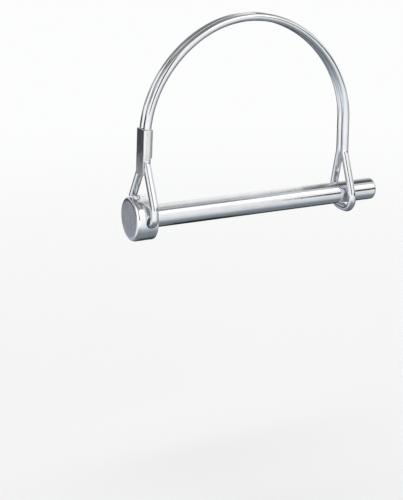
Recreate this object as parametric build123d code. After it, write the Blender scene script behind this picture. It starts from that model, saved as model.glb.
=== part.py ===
# Round-arch wire-lock pin: a headed pin, a doubled spring wire arching from the head
# to a loop round the shank, and a sheet ferrule folded round the two near strands.
# Millimetres. X runs along the pin axis (head at -X, tip at +X), Z is up through the
# arch, Y runs across. The origin is on the pin axis at the inner face of the head.
from build123d import *
import math
import os

# ---- pin ----
SHANK_D = 6.35
SHANK_L = 72.0            # inner face of the head to the tip
TIP_ROUND = 0.8
HEAD_D = 12.5
HEAD_T = 6.2
HEAD_RIM_ROUND = 1.15     # outer rim, at -X
HEAD_BACK_ROUND = 0.2     # inner rim, at the shank
CROSS_D = 3.3             # cross hole in the head, along Y
CROSS_EDGE = 0.12         # chamfer at both mouths of the cross hole
CROSS_X = -2.0            # cross hole and swing axis

# ---- wire, all places on its centreline ----
WIRE_D = 2.25
WIRE_R = WIRE_D / 2
STRAND_Y = 1.18           # half of the distance between the two strands
LEAN = math.radians(2.6)  # lean of the near leg towards the tip

# near legs, from the cross hole upwards
SWING_Z = -0.4            # the wire ends rest low in the cross hole
END_Y = 0.8               # inner end of each wire end
LEG_Y = 7.8               # where each leg turns into the cross hole
LEG_BEND_R = 1.9
KNEE_Y = 7.5              # bowed part of the leg
KNEE_Z = 4.3
KNEE_R = 3.5
SPLIT_Z = 15.2            # below this the legs spread
SPLIT_R = 3.5
BREAK_Z = 25.5            # turn towards the arch, just above the ferrule
BREAK_R = 8.0

# arch: one Bezier curve up to the top, one down to the far leg
ARCH_TILT = math.radians(12.0)  # starting direction, from Z towards the tip
ARCH_LEAD = 2.2           # from the turn to the start of the curve
ARCH_TOP_X = 30.4
ARCH_TOP_Z = 52.8
START_HANDLE = 12.16      # Bezier handle lengths, in order along the arch
NEAR_TOP_HANDLE = 16.26
FAR_TOP_HANDLE = 16.3
END_HANDLE = 16.3

# far legs and the loop round the shank
FAR_X = 61.5
FAR_Z = 22.0              # end of the arch
FAR_SPLIT_Z = 12.4        # below this the far legs spread
FAR_SPLIT_R = 5.0
LOOP_X = FAR_X + 0.8      # the loop stands a little further out than the leg
LOOP_Z = -4.85            # under the shank
LOOP_Y = 6.7              # corners of the loop, before rounding
LOOP_R = 3.9

# ---- ferrule ----
SHEET = 0.35              # sheet thickness
WIRE_GAP = 0.02           # gap between the folded sheet and the wire
INNER_REACH = WIRE_R + WIRE_GAP        # from the strand centres to the sheet
OUTER_REACH = INNER_REACH + SHEET
FOLD_R = 0.55             # outer radius of the two folds, on the -X side
SEAM = 0.4                # open seam between the folded edges, on the +X side
FERRULE_Z0 = 12.0         # lower end of the flat tongue
FERRULE_Z1 = 24.6
WRAP_Z0 = 16.15           # lower end of the folded part, on the -X side
WRAP_RISE = 1.0           # rise of that end towards +X
WRAP_CORNER = 0.35        # bevel of that end next to the tongue
TONGUE_W = 4.7
TONGUE_ROUND = 0.4        # lower corners of the tongue
SHOULDER_DROP = 0.5       # full width runs this far below the folded part


def lean_x(z):
    """X of the leaning near leg at height z."""
    return CROSS_X + (z - SWING_Z) * math.tan(LEAN)


def rounded_path(points, radii):
    """Edges of straight runs joined by arcs, with one radius per inner corner."""
    points = [Vector(*p) for p in points]
    edges = []
    start = points[0]
    corners = zip(points, points[1:], points[2:], radii)
    for before, corner, after, radius in corners:
        back = (before - corner).normalized()
        onward = (after - corner).normalized()
        half_angle = math.acos(back.dot(onward)) / 2
        setback = radius / math.tan(half_angle)
        arc_start = corner + back * setback
        arc_end = corner + onward * setback
        bisector = (back + onward).normalized()
        arc_mid = corner + bisector * (radius / math.sin(half_angle) - radius)
        edges.append(Line(start, arc_start))
        edges.append(ThreePointArc(arc_start, arc_mid, arc_end))
        start = arc_end
    edges.append(Line(start, points[-1]))
    return edges


def make_tube(edges, start, direction):
    """Round wire swept along the edges."""
    path = Wire(edges)
    profile = Plane(origin=start, z_dir=direction) * Circle(WIRE_R)
    return sweep(profile, path=path)


def make_pin():
    """Head and shank in one piece, with the cross hole through the head."""
    outline = Polyline(
        (-HEAD_T, 0),
        (-HEAD_T, HEAD_D / 2),
        (0, HEAD_D / 2),
        (0, SHANK_D / 2),
        (SHANK_L, SHANK_D / 2),
        (SHANK_L, 0),
        (-HEAD_T, 0),
    )
    pin = revolve(Plane.XZ * make_face(outline), axis=Axis.X)

    for x, radius, rounding in (
        (-HEAD_T, HEAD_D / 2, HEAD_RIM_ROUND),
        (0, HEAD_D / 2, HEAD_BACK_ROUND),
        (SHANK_L, SHANK_D / 2, TIP_ROUND),
    ):
        rim = [e for e in pin.edges().filter_by(GeomType.CIRCLE)
               if abs(e.center().X - x) < 1e-3 and abs(e.radius - radius) < 1e-3]
        pin = fillet(rim, rounding)

    pin = pin - Pos(CROSS_X, 0, 0) * Rot(90, 0, 0) * Cylinder(CROSS_D / 2, 3 * HEAD_D)
    # the mouths are the only edges as large as the hole in both X and Z
    mouths = [e for e in pin.edges()
              if abs(e.bounding_box().size.X - CROSS_D) < 0.01
              and abs(e.bounding_box().size.Z - CROSS_D) < 0.01]
    return chamfer(mouths, CROSS_EDGE)


def arch_top(side):
    return Vector(ARCH_TOP_X, side * STRAND_Y, ARCH_TOP_Z)


def make_near_strand(side):
    """One strand from the cross hole to the top of the arch; side is -1 or 1 in Y."""
    arch_dir = Vector(math.sin(ARCH_TILT), 0, math.cos(ARCH_TILT))
    strand_y = side * STRAND_Y
    turn = Vector(lean_x(BREAK_Z), strand_y, BREAK_Z)
    arch_start = turn + arch_dir * ARCH_LEAD
    wire_end = Vector(CROSS_X, side * END_Y, SWING_Z)
    points = [
        wire_end,
        (CROSS_X, side * LEG_Y, SWING_Z),
        (lean_x(KNEE_Z), side * KNEE_Y, KNEE_Z),
        (lean_x(SPLIT_Z), strand_y, SPLIT_Z),
        turn,
        arch_start,
    ]
    edges = rounded_path(points, [LEG_BEND_R, KNEE_R, SPLIT_R, BREAK_R])
    top = arch_top(side)
    edges.append(Bezier(
        arch_start,
        arch_start + arch_dir * START_HANDLE,
        top - Vector(NEAR_TOP_HANDLE, 0, 0),
        top,
    ))
    return make_tube(edges, wire_end, (0, side, 0))


def make_wire_near():
    return Compound(children=[make_near_strand(side) for side in (-1, 1)])


def far_arch_poles(side):
    """Bezier poles from the top of the arch down to the far leg."""
    top = arch_top(side)
    end = Vector(FAR_X, side * STRAND_Y, FAR_Z)
    return [top, top + Vector(FAR_TOP_HANDLE, 0, 0), end + Vector(0, 0, END_HANDLE), end]


def make_wire_far():
    """Down the -Y strand, round under the shank and back up the +Y strand."""
    points = [
        (FAR_X, -STRAND_Y, FAR_Z),
        (FAR_X, -STRAND_Y, FAR_SPLIT_Z),
        (LOOP_X, -LOOP_Y, LOOP_Z),
        (LOOP_X, LOOP_Y, LOOP_Z),
        (FAR_X, STRAND_Y, FAR_SPLIT_Z),
        (FAR_X, STRAND_Y, FAR_Z),
    ]
    edges = [Bezier(*far_arch_poles(-1))]
    edges += rounded_path(points, [FAR_SPLIT_R, LOOP_R, LOOP_R, FAR_SPLIT_R])
    edges.append(Bezier(*reversed(far_arch_poles(1))))
    return make_tube(edges, arch_top(-1), (1, 0, 0))


def strand_outline(reach, fold_r):
    """Outline round both strands: flat on the -X side, a lobe per strand on +X."""
    outline = (
        Pos(-reach / 2, 0) * Rectangle(reach, 2 * (STRAND_Y + reach))
        + Pos(0, STRAND_Y) * Circle(reach)
        + Pos(0, -STRAND_Y) * Circle(reach)
    )
    return fillet([v for v in outline.vertices() if v.X < -reach + 1e-3], fold_r)


def make_ferrule():
    """Folded strip with a flat tongue below, built upright and then leaned."""
    outer = strand_outline(OUTER_REACH, FOLD_R)
    inner = strand_outline(INNER_REACH, FOLD_R - SHEET)
    seam = Pos(OUTER_REACH / 2, 0) * Rectangle(OUTER_REACH, SEAM)
    body = extrude(outer - inner - seam, (FERRULE_Z1 - FERRULE_Z0) / math.cos(LEAN))

    # the folded part stops above the spreading legs; only the tongue runs on down
    wrap_start = (WRAP_Z0 - FERRULE_Z0) / math.cos(LEAN)
    cut_x = OUTER_REACH + 0.5  # clear of the +X side
    cut = Plane.XZ * make_face(Polyline(
        (-INNER_REACH, -1),
        (-INNER_REACH, wrap_start - WRAP_CORNER),
        (-INNER_REACH + WRAP_CORNER, wrap_start),
        (cut_x, wrap_start + WRAP_RISE),
        (cut_x, -1),
        (-INNER_REACH, -1),
    ))
    body = body - extrude(cut, 10, both=True)

    # narrow the rest to the tongue width
    trim_w = 4
    trim_h = wrap_start - SHOULDER_DROP
    for side in (-1, 1):
        trim_y = side * (TONGUE_W + trim_w) / 2
        body = body - Pos(-OUTER_REACH, trim_y, trim_h / 2) * Box(3, trim_w, trim_h)

    corners = [e for e in body.edges()
               if e.geom_type == GeomType.LINE and abs(e.tangent_at(0).X) > 0.99
               and e.center().Z < 0.01
               and abs(abs(e.center().Y) - TONGUE_W / 2) < 1e-3]
    body = fillet(corners, TONGUE_ROUND)

    leaned = Plane(
        origin=(lean_x(FERRULE_Z0), 0, FERRULE_Z0),
        x_dir=(math.cos(LEAN), 0, -math.sin(LEAN)),
        z_dir=(math.sin(LEAN), 0, math.cos(LEAN)),
    )
    return leaned * body


os.makedirs("parts", exist_ok=True)
for name, make_piece in (
    ("pin", make_pin),
    ("wire_near", make_wire_near),
    ("wire_far", make_wire_far),
    ("ferrule", make_ferrule),
):
    export_step(make_piece(), "parts/" + name + ".step")
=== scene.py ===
"""A wire-lock pin: a headed pin, a sprung wire bail and a sheet ferrule round its two strands.

X runs along the pin from the back of its head (x = 0, with the head on the -X side),
Z up through the arch of the bail and Y across. Shapes are worked out in millimetres and
scaled to metres by finish_mesh. Materials, floor, lights and camera are in metres.
"""

import math

import bmesh
import bpy
import numpy as np
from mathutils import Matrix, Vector


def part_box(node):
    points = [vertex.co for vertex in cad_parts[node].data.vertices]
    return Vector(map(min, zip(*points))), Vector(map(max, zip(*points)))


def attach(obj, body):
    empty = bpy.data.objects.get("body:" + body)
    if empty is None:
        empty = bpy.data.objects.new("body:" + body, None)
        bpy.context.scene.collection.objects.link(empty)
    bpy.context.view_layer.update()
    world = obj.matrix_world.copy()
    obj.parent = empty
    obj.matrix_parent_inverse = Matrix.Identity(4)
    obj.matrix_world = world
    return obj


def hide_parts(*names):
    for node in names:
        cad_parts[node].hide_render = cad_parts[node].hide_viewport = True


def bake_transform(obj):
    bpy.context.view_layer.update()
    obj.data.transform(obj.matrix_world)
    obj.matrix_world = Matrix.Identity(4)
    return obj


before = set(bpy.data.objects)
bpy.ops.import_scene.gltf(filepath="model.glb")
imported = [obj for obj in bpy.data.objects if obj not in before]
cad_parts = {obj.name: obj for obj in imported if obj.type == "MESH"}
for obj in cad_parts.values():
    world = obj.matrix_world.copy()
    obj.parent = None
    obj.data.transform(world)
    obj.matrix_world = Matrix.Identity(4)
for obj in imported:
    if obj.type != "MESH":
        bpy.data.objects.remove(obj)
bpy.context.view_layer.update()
scene = bpy.context.scene
MM = 0.001

# ---- sizes in millimetres ----------------------------------------------------------
pin_lo, pin_hi = (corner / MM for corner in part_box("pin"))
wire_near_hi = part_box("wire_near")[1] / MM

# pin
HEAD_T = -pin_lo.x
HEAD_R = pin_hi.y
HEAD_RIM_R = 1.15  # rounding round the outer face of the head
HEAD_BACK_R = 0.2  # rounding where the head's side meets its back
SHANK_L = pin_hi.x
SHANK_R = 3.175
SHANK_ROOT = 0.08  # small fillet between head and shank
TIP_ROUND = 0.8
CROSS_X = -2.0  # axis of the cross hole, which runs along Y through the head
CROSS_R = 1.65
CROSS_EDGE = 0.12  # broken edge at each mouth of the hole

# wire
WIRE_R = 1.125
STRAND_Y = 1.18  # where the two strands lie side by side
LEAN = math.radians(2.6)  # lean of the near leg towards +X
SWING_Z = -0.4  # height of the wire ends in the cross hole
END_Y = 0.8
LEG_Y, LEG_BEND_R = 7.8, 1.9
KNEE_Y, KNEE_Z, KNEE_R = 7.5, 4.3, 3.5
SPLIT_Z, SPLIT_R = 15.2, 3.5  # where the strands part below the ferrule
BREAK_Z, BREAK_R = 25.5, 8.0  # where the leg turns into the arch
ARCH_DIR, ARCH_LEAD = math.radians(12.0), 2.2
ARCH_TOP_X, ARCH_TOP_Z = wire_near_hi.x, wire_near_hi.z - WIRE_R
NEAR_LOW_HANDLE, NEAR_TOP_HANDLE = 12.16, 16.26  # curve handles of the near half arch
FAR_HANDLE = 16.3  # both curve handles of the far half arch
FAR_X, FAR_Z = 61.5, 22.0
V_Z, V_R = 12.4, 5.0  # where the strands part above the loop
# the loop lies 0.35 mm closer to the shank than in the rigid part
LOOP_X, LOOP_Y, LOOP_Z, LOOP_R = 62.3, 6.7, -4.5, 3.9

# ferrule
SHEET, WIRE_GAP, SEAM = 0.35, 0.02, 0.4
FERRULE_Z0, FERRULE_Z1 = 12.0, 24.6  # foot of the tongue, top of the wrap
WRAP_Z0 = 16.15  # foot of the wrap
WRAP_RISE, WRAP_RUN = 1.0, 2.7  # slope of the wrap's lower edge, rising towards +X
WRAP_STEP, WRAP_STEP_W = 0.30, 0.35  # that edge drops this much next to the tongue
TONGUE_W, TONGUE_CORNER_R = 4.7, 0.55
FOLD_R = 0.55
WRAP_R = WIRE_R + WIRE_GAP + SHEET / 2  # mid-sheet radius round a strand
FOLD_MID_R = FOLD_R - SHEET / 2


def lean_x(z):
    """X of the leaning near leg at height z."""
    return CROSS_X + (z - SWING_Z) * math.tan(LEAN)


# ---- mesh helpers ------------------------------------------------------------------
def add_object(name, data):
    ob = bpy.data.objects.new(name, data)
    scene.collection.objects.link(ob)
    return ob


def mesh_from(name, bm):
    mesh = bpy.data.meshes.new(name)
    bm.to_mesh(mesh)
    bm.free()
    return mesh


def finish_mesh(name, mesh, materials, sharp_deg):
    """A mesh in millimetres becomes a smooth-shaded object in metres."""
    mesh.name = name
    co = np.zeros(len(mesh.vertices) * 3)
    mesh.vertices.foreach_get("co", co)
    mesh.vertices.foreach_set("co", co * MM)
    mesh.polygons.foreach_set("use_smooth", [True] * len(mesh.polygons))
    mesh.set_sharp_from_angle(angle=math.radians(sharp_deg))
    slots = np.zeros(len(mesh.polygons), np.int32)
    mesh.polygons.foreach_get("material_index", slots)
    mesh.materials.clear()  # this sets every face back to the first material
    for mat in materials:
        mesh.materials.append(mat)
    mesh.polygons.foreach_set("material_index", slots)
    mesh.update()
    return add_object(name, mesh)


def baked(ob):
    """The object's mesh with its modifiers applied; the object goes."""
    bpy.context.view_layer.update()
    graph = bpy.context.evaluated_depsgraph_get()
    mesh = bpy.data.meshes.new_from_object(ob.evaluated_get(graph), depsgraph=graph)
    old = ob.data
    bpy.data.objects.remove(ob)
    bpy.data.meshes.remove(old)
    return mesh


def skin_rings(bm, rings):
    """Quads between successive closed rings of vertices."""
    for a, b in zip(rings, rings[1:]):
        for k in range(len(a)):
            k2 = (k + 1) % len(a)
            bm.faces.new((a[k], a[k2], b[k2], b[k]))


def skin_columns(bm, columns):
    """Quads between successive open columns of vertices."""
    for a, b in zip(columns, columns[1:]):
        for k in range(len(a) - 1):
            bm.faces.new((a[k], b[k], b[k + 1], a[k + 1]))


def fan(bm, ring, centre, flip, slot=0):
    """Triangles from a closed ring to a new vertex at its centre."""
    mid = bm.verts.new(centre)
    for k in range(len(ring)):
        tri = (ring[k], ring[(k + 1) % len(ring)], mid)
        bm.faces.new(tri[::-1] if flip else tri).material_index = slot


def wave(points, seed, size):
    """Smooth repeatable noise, about -1 to 1, with features of the given size in mm."""
    rng = np.random.default_rng(seed)
    points = np.asarray(points, float)
    out = np.zeros(len(points))
    for _ in range(7):
        d = rng.normal(size=3)
        d *= (0.6 + 0.9 * rng.random()) / (np.linalg.norm(d) * size) * 2 * math.pi
        out += np.sin(points @ d + rng.random() * 2 * math.pi)
    return out / 3.2


# ---- node helpers ------------------------------------------------------------------
class Nodes:
    """A short way to write the node tree of a material or world."""

    def __init__(self, owner):
        owner.use_nodes = True
        self.tree = owner.node_tree
        self.tree.nodes.clear()

    def new(self, kind, inputs=None, **props):
        node = self.tree.nodes.new(kind)
        for key, value in props.items():
            setattr(node, key, value)
        for key, value in (inputs or {}).items():
            self.put(node.inputs[key], value)
        return node

    def put(self, socket, value):
        """Link a socket, or set a plain value."""
        if isinstance(value, bpy.types.NodeSocket):
            self.tree.links.new(value, socket)
        else:
            socket.default_value = value

    def math(self, op, a, b=None):
        node = self.new("ShaderNodeMath", operation=op)
        self.put(node.inputs[0], a)
        if b is not None:
            self.put(node.inputs[1], b)
        return node.outputs[0]

    def product(self, first, *rest):
        for value in rest:
            first = self.math("MULTIPLY", first, value)
        return first

    def radius(self, a, b):
        squares = self.math("MULTIPLY", a, a), self.math("MULTIPLY", b, b)
        return self.math("SQRT", self.math("ADD", *squares))

    def ramp(self, fac, stops):
        """Colour ramp; stops are (position, rgb)."""
        node = self.new("ShaderNodeValToRGB")
        elements = node.color_ramp.elements
        while len(elements) < len(stops):
            elements.new(0.5)
        for element, (position, rgb) in zip(elements, stops):
            element.position = position
            element.color = (*rgb, 1)
        self.put(node.inputs[0], fac)
        return node.outputs[0]

    def range(self, value, from_lo, from_hi, to_lo, to_hi, smooth=False):
        node = self.new(
            "ShaderNodeMapRange",
            interpolation_type="SMOOTHSTEP" if smooth else "LINEAR",
            clamp=True,
        )
        for i, setting in enumerate((value, from_lo, from_hi, to_lo, to_hi)):
            self.put(node.inputs[i], setting)
        return node.outputs[0]

    def fade_in(self, value, start, end, top=1.0):
        return self.range(value, start, end, 0.0, top, smooth=True)

    def fade_out(self, value, start, end, top=1.0):
        return self.range(value, start, end, top, 0.0, smooth=True)

    def mix(self, fac, a, b, blend="MIX"):
        node = self.new("ShaderNodeMix", data_type="RGBA", blend_type=blend, clamp_factor=True)
        for i, value in ((0, fac), (6, a), (7, b)):
            self.put(node.inputs[i], value)
        return node.outputs[2]

    def noise(self, vec, scale, detail, rough, distortion=0.0):
        settings = {
            "Vector": vec,
            "Scale": scale,
            "Detail": detail,
            "Roughness": rough,
            "Distortion": distortion,
        }
        return self.new("ShaderNodeTexNoise", settings).outputs["Fac"]

    def stretch(self, vec, scale):
        return self.new("ShaderNodeMapping", {"Vector": vec, "Scale": scale}).outputs[0]

    def split(self, vec):
        return self.new("ShaderNodeSeparateXYZ", {"Vector": vec}).outputs

    def object_coords(self):
        return self.new("ShaderNodeTexCoord").outputs["Object"]


# ---- zinc materials ----------------------------------------------------------------
LINE_BUMP_DEPTH, DENT_DEPTH = 0.00003, 0.0001
# colour of the painted shade in the corner between head and shank
PAINTED_SHADE_COLOUR = (0.16, 0.155, 0.15, 1)


def zinc(name, base, rough, streak, streak_bump, rough_var, spots, dent,
         dark=0.75, uv=None, painted_shade=None, soften=None, shader=None):
    """Bright zinc plating over steel.

    streak: scale of the fine lines along each axis, per metre; streak_bump: their relief
    rough, rough_var: roughness and how far lines and clouds move it
    spots: strength of the small dark spots; dent: strength of the broad unevenness
    dark: brightness of the darkest lines against the base
    uv: UV map that carries the lines, otherwise they follow the object
    painted_shade, soften: functions giving a painted shade mask (a corner darkened where shade
    falls, also roughened) and added roughness
    shader: Principled inputs, otherwise fully metallic
    """
    mat = bpy.data.materials.new(name)
    N = Nodes(mat)
    out = N.new("ShaderNodeOutputMaterial")
    bsdf = N.new("ShaderNodeBsdfPrincipled", shader or {"Metallic": 1.0})
    N.put(out.inputs[0], bsdf.outputs[0])
    vec = N.new("ShaderNodeUVMap", uv_map=uv).outputs[0] if uv else N.object_coords()
    obj = N.object_coords()
    lines = N.noise(N.stretch(vec, streak), 1.0, detail=4.0, rough=0.62)
    fine_streak = tuple(3.1 * s for s in streak)
    fine = N.noise(N.stretch(vec, fine_streak), 1.0, detail=2.0, rough=0.6)
    cloud = N.noise(obj, 260.0, detail=3.0, rough=0.55, distortion=0.4)
    blot = N.noise(obj, 900.0, detail=2.0, rough=0.5)

    # colour: bluish zinc with cloudy passivation, darker lines and small spots
    red, green, blue = base
    line_colour = (red * dark, green * dark * 1.02, blue * dark * 1.06, 1)
    cloud_colour = (min(1, red * 1.05), green * 1.035, blue * 0.985, 1)
    spot_colour = (red * 0.5, green * 0.51, blue * 0.53, 1)
    line_mask = N.range(lines, 0.36, 0.66, 0.0, 1.0)
    col = N.mix(N.math("MULTIPLY", line_mask, 0.55), (*base, 1), line_colour)
    col = N.mix(N.fade_in(cloud, 0.42, 0.72, top=0.6), col, cloud_colour)
    spot_mask = N.fade_in(blot, 0.66, 0.74, top=spots)
    col = N.mix(spot_mask, col, spot_colour)
    # painted shade: the corner between head and shank is darkened in the colour, standing in for
    # the shade there
    if painted_shade:
        shade_mask = painted_shade(N, obj)
        col = N.mix(shade_mask, col, PAINTED_SHADE_COLOUR)
    N.put(bsdf.inputs["Base Color"], col)

    # roughness: lines, clouds, then spots, the painted corner shade and softening
    line_part = N.math("MULTIPLY", N.math("SUBTRACT", lines, 0.5), rough_var)
    r = N.math("ADD", line_part, rough)
    cloud_part = N.math("MULTIPLY", N.math("SUBTRACT", cloud, 0.5), rough_var * 1.2)
    r = N.math("ADD", r, cloud_part)
    r = N.math("ADD", r, N.math("MULTIPLY", spot_mask, 0.25))
    if painted_shade:
        r = N.math("ADD", r, N.math("MULTIPLY", shade_mask, 0.25))
    if soften:
        r = N.math("ADD", r, soften(N, obj))
    N.put(bsdf.inputs["Roughness"], N.math("MAXIMUM", r, 0.05))

    # relief: fine lines, then shallow dents
    line_parts = N.math("MULTIPLY", lines, 0.7), N.math("MULTIPLY", fine, 0.3)
    height = N.math("ADD", *line_parts)
    line_bump = N.new(
        "ShaderNodeBump",
        {"Height": height, "Strength": streak_bump, "Distance": LINE_BUMP_DEPTH},
    )
    dents = {
        "Height": N.noise(obj, 420.0, detail=2.0, rough=0.5),
        "Strength": dent,
        "Distance": DENT_DEPTH,
        "Normal": line_bump.outputs[0],
    }
    N.put(bsdf.inputs["Normal"], N.new("ShaderNodeBump", dents).outputs[0])
    return mat


def corner_painted_shade(N, obj):
    """Painted shade: the corner between the head and the shank is darkened in the colour and
    roughened, standing in for the shade there.
    """
    x, y, z = N.split(obj)
    r = N.radius(y, z)
    near_head = N.fade_out(x, 0.0, 0.0010)
    near_shank = N.fade_out(r, 0.00318, 0.0046)
    shank_side = N.range(x, -0.0002, -0.00005, 0.0, 1.0)
    patches = N.range(N.noise(obj, 1500.0, detail=3.0, rough=0.6), 0.35, 0.65, 0.35, 1.0)
    corner = N.product(near_head, near_shank, shank_side)
    return N.math("MULTIPLY", corner, N.math("MULTIPLY", patches, 0.5))


def tongue_wear(N, obj):
    """The sheet is duller towards the tongue, where it is handled."""
    z = N.split(obj)[2]
    cloudy = N.noise(obj, 700.0, detail=3.0, rough=0.6)
    shift = N.range(cloudy, 0.3, 0.7, -0.0012, 0.0012)
    return N.fade_out(N.math("ADD", z, shift), 0.0125, 0.0215, top=0.38)


mat_shank = zinc(
    "zinc_shank", base=(0.80, 0.815, 0.84), rough=0.085, streak=(70, 2600, 2600),
    streak_bump=0.10, rough_var=0.07, spots=0.20, dent=0.10, painted_shade=corner_painted_shade,
)
mat_side = zinc(
    "zinc_head_side", base=(0.93, 0.945, 0.965), rough=0.12, streak=(2600, 240, 240),
    streak_bump=0.34, rough_var=0.12, spots=0.34, dent=0.26, dark=0.76,
)
mat_face = zinc(
    "zinc_head_face", base=(0.93, 0.935, 0.965), rough=0.30, streak=(900, 3600, 230),
    streak_bump=0.75, rough_var=0.18, spots=0.22, dent=0.16, dark=0.42,
)
# the faint emission stands for light scattered down the hole
mat_bore = zinc(
    "zinc_bore", base=(0.66, 0.67, 0.69), rough=0.38, streak=(1500, 300, 1500),
    streak_bump=0.3, rough_var=0.1, spots=0.3, dent=0.1,
    shader={
        "Metallic": 0.4,
        "Emission Color": (0.9, 0.95, 1.0, 1),
        "Emission Strength": 0.03,
    },
)
mat_wire = zinc(
    "zinc_wire", base=(0.82, 0.83, 0.85), rough=0.075, streak=(90, 9000, 9000),
    streak_bump=0.12, rough_var=0.08, spots=0.22, dent=0.12, uv="along",
)
mat_cut = zinc(
    "zinc_wire_end", base=(0.55, 0.55, 0.56), rough=0.45, streak=(2500, 2500, 2500),
    streak_bump=0.5, rough_var=0.12, spots=0.3, dent=0.2,
)
mat_sheet = zinc(
    "zinc_sheet", base=(0.83, 0.835, 0.83), rough=0.10, streak=(2800, 2800, 160),
    streak_bump=0.2, rough_var=0.09, spots=0.28, dent=0.26, dark=0.68, soften=tongue_wear,
)


# ---- pin ---------------------------------------------------------------------------
PIN_SEGMENTS, CUTTER_SEGMENTS, CUTTER_RINGS = 176, 72, 53
PIN_MATERIALS = [mat_shank, mat_face, mat_bore, mat_side]
SHANK_SLOT, FACE_SLOT, BORE_SLOT, SIDE_SLOT = range(4)


def arc(x, y, radius, start_deg, end_deg, steps):
    angles = [math.radians(start_deg + (end_deg - start_deg) * k / steps)
              for k in range(steps + 1)]
    return [(x + radius * math.cos(a), y + radius * math.sin(a)) for a in angles]


def spread(a, b, step):
    """Evenly spaced points strictly between a and b."""
    n = max(1, int(round(math.hypot(b[0] - a[0], b[1] - a[1]) / step)))
    return [(a[0] + (b[0] - a[0]) * k / n, a[1] + (b[1] - a[1]) * k / n) for k in range(1, n)]


def pin_profile():
    """(x, radius) from the middle of the head's face to the middle of the tip."""
    rim_x, rim_r = HEAD_RIM_R - HEAD_T, HEAD_R - HEAD_RIM_R
    back_r = HEAD_R - HEAD_BACK_R
    root_r = SHANK_R + SHANK_ROOT
    tip_x, tip_r = SHANK_L - TIP_ROUND, SHANK_R - TIP_ROUND
    return [
        *((-HEAD_T, r) for r in np.linspace(0.5, rim_r, 12)[:-1]),
        *arc(rim_x, rim_r, HEAD_RIM_R, 180, 90, 10),
        *spread((rim_x, HEAD_R), (-HEAD_BACK_R, HEAD_R), 0.22),
        *arc(-HEAD_BACK_R, back_r, HEAD_BACK_R, 90, 0, 5),
        *spread((0, back_r), (0, root_r), 0.4),
        (0.0, root_r),
        (0.03, SHANK_R + 0.02),
        (SHANK_ROOT, SHANK_R),
        *spread((SHANK_ROOT, SHANK_R), (tip_x, SHANK_R), 0.8),
        *arc(tip_x, tip_r, TIP_ROUND, 90, 0, 10),
        *((SHANK_L, r) for r in np.linspace(tip_r, 0.4, 6)[1:]),
    ]


def turned_blank():
    bm = bmesh.new()
    angles = [2 * math.pi * k / PIN_SEGMENTS for k in range(PIN_SEGMENTS)]
    profile = pin_profile()
    rings = [[bm.verts.new((x, -r * math.cos(a), r * math.sin(a))) for a in angles]
             for x, r in profile]
    skin_rings(bm, rings)
    fan(bm, rings[0], (profile[0][0], 0, 0), flip=True)
    fan(bm, rings[-1], (profile[-1][0], 0, 0), flip=False)
    bmesh.ops.recalc_face_normals(bm, faces=bm.faces)
    return add_object("pin_blank", mesh_from("pin_blank", bm))


def cross_cutter():
    """A cylinder along Y, longer than the head is wide."""
    bm = bmesh.new()
    angles = [2 * math.pi * (k + 0.5) / CUTTER_SEGMENTS for k in range(CUTTER_SEGMENTS)]
    circle = [(CROSS_X + CROSS_R * math.cos(a), CROSS_R * math.sin(a)) for a in angles]
    reach = HEAD_R + 1.0
    rings = [[bm.verts.new((x, y, z)) for x, z in circle]
             for y in np.linspace(-reach, reach, CUTTER_RINGS)]
    skin_rings(bm, rings)
    bm.faces.new(rings[0])
    bm.faces.new(rings[-1][::-1])
    bmesh.ops.recalc_face_normals(bm, faces=bm.faces)
    return add_object("pin_cutter", mesh_from("pin_cutter", bm))


def break_mouths(bm):
    """Bevel both mouths of the cross hole."""
    def on_mouth(co):
        off_hole = abs(math.hypot(co.x - CROSS_X, co.z) - CROSS_R)
        off_head = abs(math.hypot(co.y, co.z) - HEAD_R)
        return max(off_hole, off_head) <= 0.012

    mouth = [
        e for e in bm.edges
        if all(on_mouth(v.co) for v in e.verts)
        and len(e.link_faces) == 2
        and e.calc_face_angle(0) > math.radians(35)
    ]
    bmesh.ops.bevel(
        bm, geom=mouth, offset=CROSS_EDGE, offset_type="OFFSET", segments=3,
        profile=0.5, affect="EDGES", clamp_overlap=True,
    )


def pin_slot(c):
    """Material slot of a face centred at c."""
    in_hole = math.hypot(c.x - CROSS_X, c.z) < CROSS_R + 0.01
    if in_hole and math.hypot(c.y, c.z) < HEAD_R - 0.03:
        return BORE_SLOT
    if c.x < -HEAD_T + 1e-3:
        return FACE_SLOT
    return SIDE_SLOT if c.x < 1e-4 else SHANK_SLOT


def build_pin():
    blank = turned_blank()
    cutter = cross_cutter()
    mod = blank.modifiers.new("cross_hole", "BOOLEAN")
    mod.operation, mod.solver, mod.object = "DIFFERENCE", "EXACT", cutter
    cut = baked(blank)
    bpy.data.objects.remove(cutter)

    bm = bmesh.new()
    bm.from_mesh(cut)
    bpy.data.meshes.remove(cut)
    bmesh.ops.remove_doubles(bm, verts=bm.verts, dist=1e-4)
    break_mouths(bm)
    for face in bm.faces:
        face.material_index = pin_slot(face.calc_center_median())
    return finish_mesh("pin_steel", mesh_from("pin_steel", bm), PIN_MATERIALS, sharp_deg=38)


pin = build_pin()
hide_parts("pin")
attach(pin, "pin")


# ---- wire: one unbroken length, from one end in the cross hole to the other ----------
WIRE_STEP, WIRE_SEGMENTS = 0.22, 28
WIRE_SLOT, CUT_SLOT = range(2)
END_INSET = 0.14  # the full-width wire stops this far short of its ends
# sheared end, from its edge to its middle: (share of the radius, distance outward)
END_DOME = ((0.93, 0.075), (0.84, 0.115), (0.60, 0.135), (0.30, 0.142))


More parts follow.
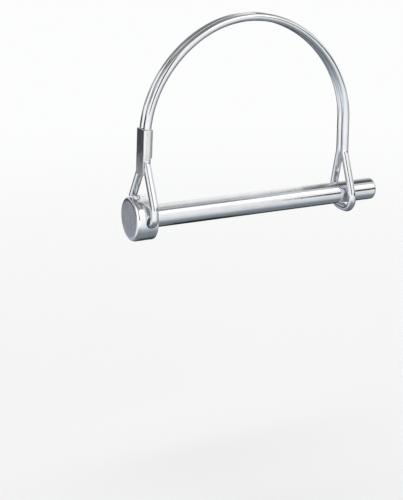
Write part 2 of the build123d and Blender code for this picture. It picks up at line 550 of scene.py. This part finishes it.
def rounded(corners, step=0.05):
    """A polyline with its corners turned into arcs; corners are (x, y, z, bend radius)."""
    pts = [np.array(corner[:3], float) for corner in corners]
    out = [pts[0]]
    for before, here, after, corner in zip(pts, pts[1:], pts[2:], corners[1:]):
        radius = corner[3]
        u = (before - here) / np.linalg.norm(before - here)
        v = (after - here) / np.linalg.norm(after - here)
        angle = math.acos(max(-1, min(1, float(u @ v))))
        cut = radius / math.tan(angle / 2)
        centre = here + (u + v) / np.linalg.norm(u + v) * (radius / math.sin(angle / 2))
        start = (here + u * cut - centre) / radius
        end = (here + v * cut - centre) / radius
        turn = math.acos(max(-1, min(1, float(start @ end))))
        n = max(6, int(radius * turn / step) + 1)
        for k in range(n + 1):
            a, b = math.sin((1 - k / n) * turn), math.sin(k / n * turn)
            out.append(centre + radius * (a * start + b * end) / math.sin(turn))
    out.append(pts[-1])
    return out


def bezier(p0, p1, p2, p3, n=500):
    return [(1 - t) ** 3 * p0 + 3 * (1 - t) ** 2 * t * p1 + 3 * (1 - t) * t * t * p2 + t**3 * p3
            for t in np.linspace(0, 1, n + 1)]


def near_half(side):
    """From the end in the cross hole up to the top of the arch; side is the sign of Y."""
    y = side * STRAND_Y
    rise = np.array([math.sin(ARCH_DIR), 0, math.cos(ARCH_DIR)])
    break_x = lean_x(BREAK_Z)
    start = np.array([break_x, y, BREAK_Z]) + ARCH_LEAD * rise
    top = np.array([ARCH_TOP_X, y, ARCH_TOP_Z])
    leg = rounded([
        (CROSS_X, side * END_Y, SWING_Z, 0),
        (CROSS_X, side * LEG_Y, SWING_Z, LEG_BEND_R),
        (lean_x(KNEE_Z), side * KNEE_Y, KNEE_Z, KNEE_R),
        (lean_x(SPLIT_Z), y, SPLIT_Z, SPLIT_R),
        (break_x, y, BREAK_Z, BREAK_R),
        (*start, 0),
    ])
    top_handle = top - np.array([NEAR_TOP_HANDLE, 0, 0])
    return leg + bezier(start, start + rise * NEAR_LOW_HANDLE, top_handle, top)[1:]


def far_arch(side):
    """From the top of the arch to the top of the far leg."""
    top = np.array([ARCH_TOP_X, side * STRAND_Y, ARCH_TOP_Z])
    foot = np.array([FAR_X, side * STRAND_Y, FAR_Z])
    along, up = np.array([FAR_HANDLE, 0, 0]), np.array([0, 0, FAR_HANDLE])
    return bezier(top, top + along, foot + up, foot)


def wire_path():
    loop = rounded([
        (FAR_X, -STRAND_Y, FAR_Z, 0),
        (FAR_X, -STRAND_Y, V_Z, V_R),
        (LOOP_X, -LOOP_Y, LOOP_Z, LOOP_R),
        (LOOP_X, LOOP_Y, LOOP_Z, LOOP_R),
        (FAR_X, STRAND_Y, V_Z, V_R),
        (FAR_X, STRAND_Y, FAR_Z, 0),
    ])
    pts = near_half(-1) + far_arch(-1)[1:] + loop[1:]
    pts += far_arch(1)[::-1][1:] + near_half(1)[::-1][1:]
    pts = np.array(pts)
    keep = np.r_[True, np.linalg.norm(np.diff(pts, axis=0), axis=1) > 1e-4]
    return pts[keep]


def wire_rings():
    """Evenly spaced centres and tangents, and the ring of surface points at each."""
    path = wire_path()
    length = np.r_[0, np.cumsum(np.linalg.norm(np.diff(path, axis=0), axis=1))]
    total = length[-1]
    t = np.linspace(0, total, int(total / WIRE_STEP) + 1)
    centres = np.stack([np.interp(t, length, path[:, k]) for k in range(3)], -1)
    tangents = np.gradient(centres, t, axis=0)
    tangents /= np.linalg.norm(tangents, axis=1)[:, None]

    # curvature, smoothed along the wire
    bend = np.gradient(tangents, t, axis=0)
    kernel = np.hanning(9)
    kernel /= kernel.sum()
    bend = np.stack(
        [np.convolve(np.pad(bend[:, k], 4, "edge"), kernel, "valid") for k in range(3)], -1)
    curvature = np.linalg.norm(bend, axis=1)
    bend_dir = bend / np.maximum(curvature, 1e-9)[:, None]

    # frames carried along the wire without twist
    axes = np.zeros_like(centres)
    axis = np.array([0.0, 0.0, 1.0])
    for i, tangent in enumerate(tangents):
        axis = axis - tangent * (axis @ tangent)
        axis /= np.linalg.norm(axis)
        axes[i] = axis
    cross_axes = np.cross(tangents, axes)

    # the section flattens a little in the bends
    angles = np.arange(WIRE_SEGMENTS) * 2 * math.pi / WIRE_SEGMENTS
    cos, sin = np.cos(angles)[:, None], np.sin(angles)[:, None]
    rings = np.zeros((len(centres), WIRE_SEGMENTS, 3))
    for i, centre in enumerate(centres):
        d = axes[i] * cos + cross_axes[i] * sin
        flat = min(0.035, 0.1045 * curvature[i])
        along = d @ bend_dir[i] if curvature[i] > 1e-3 else np.zeros(WIRE_SEGMENTS)
        r = WIRE_R * (1 - flat * along**2 + 0.3 * flat * (1 - along**2))
        rings[i] = centre + d * r[:, None]

    # very slight drawing and handling waviness of the surface
    surface = rings.reshape(-1, 3)
    d = surface - np.repeat(centres, WIRE_SEGMENTS, axis=0)
    d /= np.linalg.norm(d, axis=1)[:, None]
    relief = 0.006 * wave(surface, 11, 6.0) + 0.003 * wave(surface, 12, 2.2) - 0.006
    return centres, tangents, (surface + d * relief[:, None]).reshape(rings.shape)


def build_wire():
    centres, tangents, rings = wire_rings()

    def end_dome(i, sign):
        """Rings of the sheared end at centre i, from its edge inwards."""
        c = centres[i]
        return [c + (rings[i] - c) * share + tangents[i] * sign * (push - END_INSET)
                for share, push in END_DOME]

    start_dome, end_rings = end_dome(0, -1.0)[::-1], end_dome(-1, 1.0)
    rings[0] += tangents[0] * END_INSET
    rings[-1] -= tangents[-1] * END_INSET

    bm = bmesh.new()
    uv_layer = bm.loops.layers.uv.new("along")
    rows = [[bm.verts.new(p) for p in ring] for ring in (*start_dome, *rings, *end_rings)]
    first = len(END_DOME)
    last = first + len(rings) - 1
    along = [0.0]
    for a, b in zip(rows, rows[1:]):
        along.append(along[-1] + (a[0].co - b[0].co).length)

    # U is the length along the wire and V the way round it, both in metres
    for j, (a, b) in enumerate(zip(rows, rows[1:])):
        for k in range(WIRE_SEGMENTS):
            k2 = (k + 1) % WIRE_SEGMENTS
            face = bm.faces.new((a[k], a[k2], b[k2], b[k]))
            face.material_index = WIRE_SLOT if first <= j < last else CUT_SLOT
            corners = ((j, k), (j, k + 1), (j + 1, k + 1), (j + 1, k))
            for corner, (row, step) in zip(face.loops, corners):
                turn = step / WIRE_SEGMENTS * 2 * math.pi
                corner[uv_layer].uv = (along[row] * MM, turn * WIRE_R * MM)
    for row, flip in ((rows[0], True), (rows[-1], False)):
        centre = sum((v.co for v in row), Vector()) / WIRE_SEGMENTS
        fan(bm, row, centre, flip, slot=CUT_SLOT)
    bmesh.ops.recalc_face_normals(bm, faces=bm.faces)
    return finish_mesh("bail_wire", mesh_from("bail_wire", bm), [mat_wire, mat_cut], sharp_deg=60)


wire = build_wire()
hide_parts("wire_near", "wire_far")
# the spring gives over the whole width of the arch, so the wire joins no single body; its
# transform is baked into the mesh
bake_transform(wire)


# ---- ferrule: one strip of sheet folded round both strands ---------------------------
# Built upright, with z = 0 at the foot of the tongue, then leaned with the near leg.
WRAP_STEPS, TONGUE_STEPS = 46, 14


def ferrule_section():
    """(x, y) along the middle of the sheet, from seam edge to seam edge round the -X side."""
    outer_y = STRAND_Y + WRAP_R
    fold_x, fold_y = -WRAP_R + FOLD_MID_R, outer_y - FOLD_MID_R
    half = [(-WRAP_R, y) for y in np.linspace(0, fold_y, 11)]
    # the tongue ends part of the way round the fold
    lip = math.degrees(math.asin((TONGUE_W / 2 - fold_y) / FOLD_MID_R))
    for deg in (*np.linspace(0, lip, 4)[1:], *np.linspace(lip, 90, 6)[1:]):
        a = math.radians(deg)
        half.append((fold_x - FOLD_MID_R * math.cos(a), fold_y + FOLD_MID_R * math.sin(a)))
    half += [(x, outer_y) for x in np.linspace(fold_x, 0, 6)[1:]]
    end = -math.degrees(math.asin((STRAND_Y - SEAM / 2) / WRAP_R))
    for deg in np.linspace(90, end, 26)[1:]:
        a = math.radians(deg)
        half.append((WRAP_R * math.cos(a), STRAND_Y + WRAP_R * math.sin(a)))
    return [(x, -y) for x, y in half[:0:-1]] + half


def wrap_foot(x):
    """Height of the wrap's lower edge at x."""
    run = x + WRAP_R
    step = max(0.0, min(1.0, run / WRAP_STEP_W)) * WRAP_STEP
    slope = max(0.0, run - WRAP_STEP_W) * WRAP_RISE / WRAP_RUN
    return (WRAP_Z0 - FERRULE_Z0) / math.cos(LEAN) - WRAP_STEP + step + slope


def tongue_foot(y):
    """Height of the tongue's lower edge, with its rounded corners."""
    d = abs(y) - (TONGUE_W / 2 - TONGUE_CORNER_R)
    if d <= 0:
        return 0.0
    return TONGUE_CORNER_R - math.sqrt(max(0.0, TONGUE_CORNER_R**2 - d * d))


def folded_strip(bm):
    section = ferrule_section()
    length = (FERRULE_Z1 - FERRULE_Z0) / math.cos(LEAN)
    wrap = []
    for x, y in section:
        z0 = wrap_foot(x)
        wrap.append([bm.verts.new((x, y, z0 + (length - z0) * k / WRAP_STEPS))
                     for k in range(WRAP_STEPS + 1)])
    skin_columns(bm, wrap)
    tongue = []
    for (x, y), column in zip(section, wrap):
        if x < -WRAP_R + 0.2 and abs(y) <= TONGUE_W / 2 + 1e-6:
            top, z0 = column[0], tongue_foot(y)
            lower = [bm.verts.new((x, y, z0 + (top.co.z - z0) * k / TONGUE_STEPS))
                     for k in range(TONGUE_STEPS)]
            tongue.append(lower + [top])
    skin_columns(bm, tongue)
    bmesh.ops.recalc_face_normals(bm, faces=bm.faces)


def press_sheet(bm):
    """The sheet is pressed against the strands, a little hollow between them."""
    for v in bm.verts:
        if v.co.x < -WRAP_R + 0.02:
            across = v.co.y / (STRAND_Y + WRAP_R)
            v.co.x += 0.035 * math.cos(across * math.pi / 2) ** 2
    pts = np.array([v.co[:] for v in bm.verts])
    relief = wave(pts, 5, 5.0) * 0.010 + wave(pts, 6, 2.4) * 0.004
    for v, d in zip(bm.verts, relief):
        if v.co.x < -WRAP_R + 0.06:
            v.co.x += d
        else:
            out = Vector((v.co.x, v.co.y - math.copysign(STRAND_Y, v.co.y), 0))
            if out.length > 1e-6:
                v.co += out.normalized() * abs(d) * 0.6


def build_ferrule():
    bm = bmesh.new()
    folded_strip(bm)
    press_sheet(bm)
    # the normals point out of the fold
    if min(bm.faces, key=lambda f: f.calc_center_median().x).normal.x > 0:
        bmesh.ops.reverse_faces(bm, faces=bm.faces)
    ob = add_object("sheet", mesh_from("sheet", bm))
    thick = ob.modifiers.new("thick", "SOLIDIFY")
    thick.thickness, thick.offset, thick.use_even_offset = SHEET - 0.01, 0.0, True
    edges = ob.modifiers.new("edges", "BEVEL")
    edges.width, edges.segments, edges.profile = 0.07, 3, 0.6
    edges.limit_method, edges.angle_limit = "ANGLE", math.radians(50)
    mesh = baked(ob)

    # lean and place
    co = np.zeros(len(mesh.vertices) * 3)
    mesh.vertices.foreach_get("co", co)
    axes = np.array([
        [math.cos(LEAN), 0, -math.sin(LEAN)],
        [0, 1, 0],
        [math.sin(LEAN), 0, math.cos(LEAN)],
    ])
    placed = co.reshape(-1, 3) @ axes + np.array([lean_x(FERRULE_Z0), 0, FERRULE_Z0])
    mesh.vertices.foreach_set("co", placed.ravel())
    return finish_mesh("ferrule_sheet", mesh, [mat_sheet], sharp_deg=35)


ferrule = build_ferrule()
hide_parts("ferrule")
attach(ferrule, "bail")


# ---- floor: metres from here on -------------------------------------------------------
FLOOR_Z, FLOOR_R = -0.0885, 4.5
FLOOR_FADE = (0.12, 0.55)  # radii over which the lit floor fades to plain pale
PALE = (0.975, 0.978, 0.98, 1)


def floor_material():
    mat = bpy.data.materials.new("floor_pale")
    N = Nodes(mat)
    out = N.new("ShaderNodeOutputMaterial")
    lit = N.new("ShaderNodeBsdfDiffuse", {"Color": (0.88, 0.88, 0.88, 1), "Roughness": 0.6})
    plain = N.new("ShaderNodeEmission", {"Color": PALE, "Strength": 1.0})
    x, y, _ = N.split(N.object_coords())
    fac = N.fade_in(N.radius(x, y), *FLOOR_FADE)
    mix = N.new("ShaderNodeMixShader", {0: fac, 1: lit.outputs[0], 2: plain.outputs[0]})
    N.put(out.inputs[0], mix.outputs[0])
    return mat


def build_floor():
    bm = bmesh.new()
    bmesh.ops.create_circle(bm, cap_ends=True, cap_tris=False, segments=96, radius=FLOOR_R)
    ob = add_object("floor", mesh_from("floor", bm))
    ob.location = (0.03, 0, FLOOR_Z)
    ob.data.materials.append(floor_material())
    ob.visible_glossy = False
    ob.visible_diffuse = False


build_floor()


# ---- studio ---------------------------------------------------------------------------
VIEW_TURN = math.radians(28)  # azimuth 0 is towards the viewer, this far from -Y to -X
NO_TINT = (1, 1, 1)

# Sectors of azimuth, from behind the lock on the viewer's right, round by the viewer,
# to behind it on the viewer's left.
# Each: azimuths over which it fades in (degrees, positive to the viewer's right), tint,
# and stops of (elevation in degrees, brightness). The last one lies under the others.
SECTORS = (
    ((128, 158), NO_TINT, (
        (-90, 0.22), (-64, 0.20), (-59, 0.10), (-50, 0.055), (-42, 0.05), (-32, 0.08),
        (-24, 0.09), (-15, 0.05), (-8, 0.09), (-3, 0.90), (4, 1.12), (30, 1.10), (41, 1.0),
        (50, 0.92), (58, 0.85), (62, 0.74), (66, 0.56), (71, 0.30), (90, 0.30))),
    ((68, 92), NO_TINT, (
        (-90, 0.22), (-62, 0.24), (-50, 0.24), (-30, 0.30), (-15, 0.36), (-8, 0.5),
        (0, 0.85), (30, 1.0), (44, 0.80), (52, 0.75), (62, 0.72), (66, 0.56), (71, 0.32),
        (90, 0.30))),
    ((28, 48), NO_TINT, (
        (-90, 0.22), (-62, 0.25), (-57, 0.31), (-50, 0.37), (-41, 0.50), (-31, 0.78),
        (-20, 0.88), (-10, 0.96), (4, 1.04), (32, 1.12), (44, 1.0), (51, 0.55), (58, 0.36),
        (63, 0.55), (66, 0.35), (90, 0.30))),
    ((-80, -58), NO_TINT, (
        (-90, 0.24), (-60, 0.25), (-50, 0.33), (-40, 0.50), (-28, 0.85), (-20, 1.10),
        (0, 1.18), (40, 1.15), (50, 0.80), (58, 0.25), (64, 0.15), (90, 0.30))),
    ((-112, -98), NO_TINT, (
        (-90, 0.20), (-60, 0.16), (-47, 0.30), (-39, 0.90), (-24, 1.05), (-18, 0.66),
        (-9, 0.55), (-6, 0.14), (5, 0.10), (8, 0.70), (13, 0.70), (16, 0.22), (23, 0.12),
        (29, 0.75), (37, 0.80), (43, 0.18), (55, 0.12), (62, 0.40), (75, 0.30))),
    ((-158, -148), (0.96, 0.98, 1.07), (
        (-90, 0.20), (-60, 0.22), (-45, 0.36), (-30, 0.50), (-20, 0.48), (-14, 0.30),
        (-12, 0.08), (4, 0.06), (7, 0.45), (12, 0.65), (20, 0.62), (26, 0.15), (37, 0.12),
        (44, 0.60), (52, 0.35), (60, 0.12), (90, 0.30))),
    (None, NO_TINT, (
        (-90, 0.20), (-60, 0.12), (-45, 0.10), (-30, 0.08), (-15, 0.10), (-7, 0.20),
        (-2, 0.85), (10, 1.05), (30, 0.85), (42, 0.30), (60, 0.15), (90, 0.30))),
)
# (elevation, share of brightness kept) where the tent ends
TENT_FALL = (
    (-90, 1.0), (4, 1.0), (16, 0.82), (29, 0.58), (41, 0.38), (50, 0.22), (56, 0.12),
    (64, 0.12), (90, 0.5),
)
PANEL_GREY = (0.26, 0.27, 0.275, 1)
GAP_DARK = (0.03, 0.03, 0.033, 1)
TABLE_DARK = (0.008, 0.009, 0.010, 1)
LENS_DARK = (0.035, 0.035, 0.04, 1)


def sky_stops(rows, tint):
    """Ramp stops for one sector, cooler towards the ground."""
    stops = []
    for elevation, v in rows:
        cool = max(0.0, min(1.0, (-elevation - 5) / 40))
        rgb = (v * (1 - 0.09 * cool) * tint[0], v * tint[1], v * (1 + 0.06 * cool) * tint[2])
        stops.append(((elevation + 90) / 180, rgb))
    return stops


def build_world():
    """A white studio for reflections and light; camera rays see plain pale."""
    world = bpy.data.worlds.new("studio")
    scene.world = world
    N = Nodes(world)
    x, y, z = N.split(N.new("ShaderNodeTexCoord").outputs["Generated"])
    el = N.math("MULTIPLY", N.math("ARCSINE", z), 180 / math.pi)
    fac = N.math("DIVIDE", N.math("ADD", el, 90.0), 180.0)
    cos, sin = math.cos(VIEW_TURN), math.sin(VIEW_TURN)
    front = N.math("SUBTRACT", N.math("MULTIPLY", x, -sin), N.math("MULTIPLY", y, cos))
    right = N.math("SUBTRACT", N.math("MULTIPLY", x, cos), N.math("MULTIPLY", y, sin))
    az = N.math("MULTIPLY", N.math("ARCTAN2", right, front), 180 / math.pi)

    skies = [(fade, N.ramp(fac, sky_stops(rows, tint))) for fade, tint, rows in SECTORS]
    col = skies.pop()[1]
    for fade, sky in reversed(skies):
        col = N.mix(N.fade_in(az, *fade), col, sky)

    # out to the right the tent ends, and falls off upwards
    tent_end = N.product(N.fade_in(x, 0.489, 0.502), N.fade_in(y, -0.14, -0.04))
    fall = N.ramp(fac, [((e + 90) / 180, (v, v, v)) for e, v in TENT_FALL])
    col = N.mix(tent_end, col, N.mix(1.0, col, fall, "MULTIPLY"))
    # beside it, a grey panel above the bright one
    panel = N.product(
        N.fade_in(el, 42, 48), N.fade_out(el, 61, 65),
        N.fade_in(az, 50, 57), N.fade_out(az, 90, 104),
        N.fade_out(x, 0.445, 0.485, top=0.85),
    )
    col = N.mix(panel, col, PANEL_GREY)
    # a dark gap just above the horizon
    gap = N.product(
        N.fade_in(el, -4.5, -2.0), N.fade_out(el, 9.5, 12.5),
        N.fade_in(az, 56, 59), N.fade_out(az, 100, 112),
    )
    col = N.mix(gap, col, GAP_DARK)
    # the dark edge of the table, low down
    table = N.product(
        N.fade_in(el, -70, -63), N.fade_out(el, -44, -34),
        N.fade_in(az, 108, 128), N.fade_in(x, 0.395, 0.402),
        N.fade_out(x, 0.43, 0.465, top=0.9),
    )
    col = N.mix(table, col, TABLE_DARK)
    # the dark opening on the viewer's side, slanting above 15 degrees of elevation
    above = N.math("MAXIMUM", N.math("SUBTRACT", el, 15.0), 0.0)
    slanted = N.math("ADD", az, N.math("MULTIPLY", above, 0.55))
    lens = N.product(
        N.fade_in(slanted, -14, -9), N.fade_out(slanted, 9, 14),
        N.fade_in(el, 0, 5), N.fade_out(el, 46, 51),
    )
    col = N.mix(lens, col, LENS_DARK)

    studio = N.new("ShaderNodeBackground", {"Color": col, "Strength": 1.0})
    seen = N.new("ShaderNodeBackground", {"Color": PALE, "Strength": 1.0})
    ray = N.new("ShaderNodeLightPath").outputs["Is Camera Ray"]
    mix = N.new("ShaderNodeMixShader", {0: ray, 1: studio.outputs[0], 2: seen.outputs[0]})
    N.new("ShaderNodeOutputWorld", {0: mix.outputs[0]})


build_world()

LIGHT_TARGET = Vector((0.03, 0, 0.02))


def point_along(ob, direction):
    ob.rotation_mode = "QUATERNION"
    ob.rotation_quaternion = direction.to_track_quat("-Z", "Y")


def area_light(name, where, size, power):
    light = bpy.data.lights.new(name, "AREA")
    light.shape = "RECTANGLE"
    light.size, light.size_y = size
    light.energy = power
    ob = add_object(name, light)
    ob.location = where
    point_along(ob, LIGHT_TARGET - Vector(where))
    return ob


area_light("key", where=(0.35, -0.62, 0.60), size=(0.55, 0.40), power=0.55)
top_light = area_light("top", where=(0.03, 0.05, 1.1), size=(0.9, 0.9), power=7.4)
top_light.visible_glossy = False

# ---- camera: turned a little so that the open lock stays in frame ----------------------
CAMERA_PLACE = (-0.13331, -0.305792, 0.093886)
YAW, PITCH = math.radians(26.0), math.radians(-17.25)  # from +Y towards +X, and downwards


def build_camera():
    data = bpy.data.cameras.new("camera")
    data.sensor_width, data.lens = 36.0, 90.864
    data.clip_start, data.clip_end = 0.01, 20.0
    ob = add_object("camera", data)
    ob.location = CAMERA_PLACE
    level = math.cos(PITCH)
    point_along(ob, Vector((math.sin(YAW) * level, math.cos(YAW) * level, math.sin(PITCH))))
    scene.camera = ob


build_camera()
scene.view_settings.view_transform = "Standard"
scene.view_settings.look = "None"
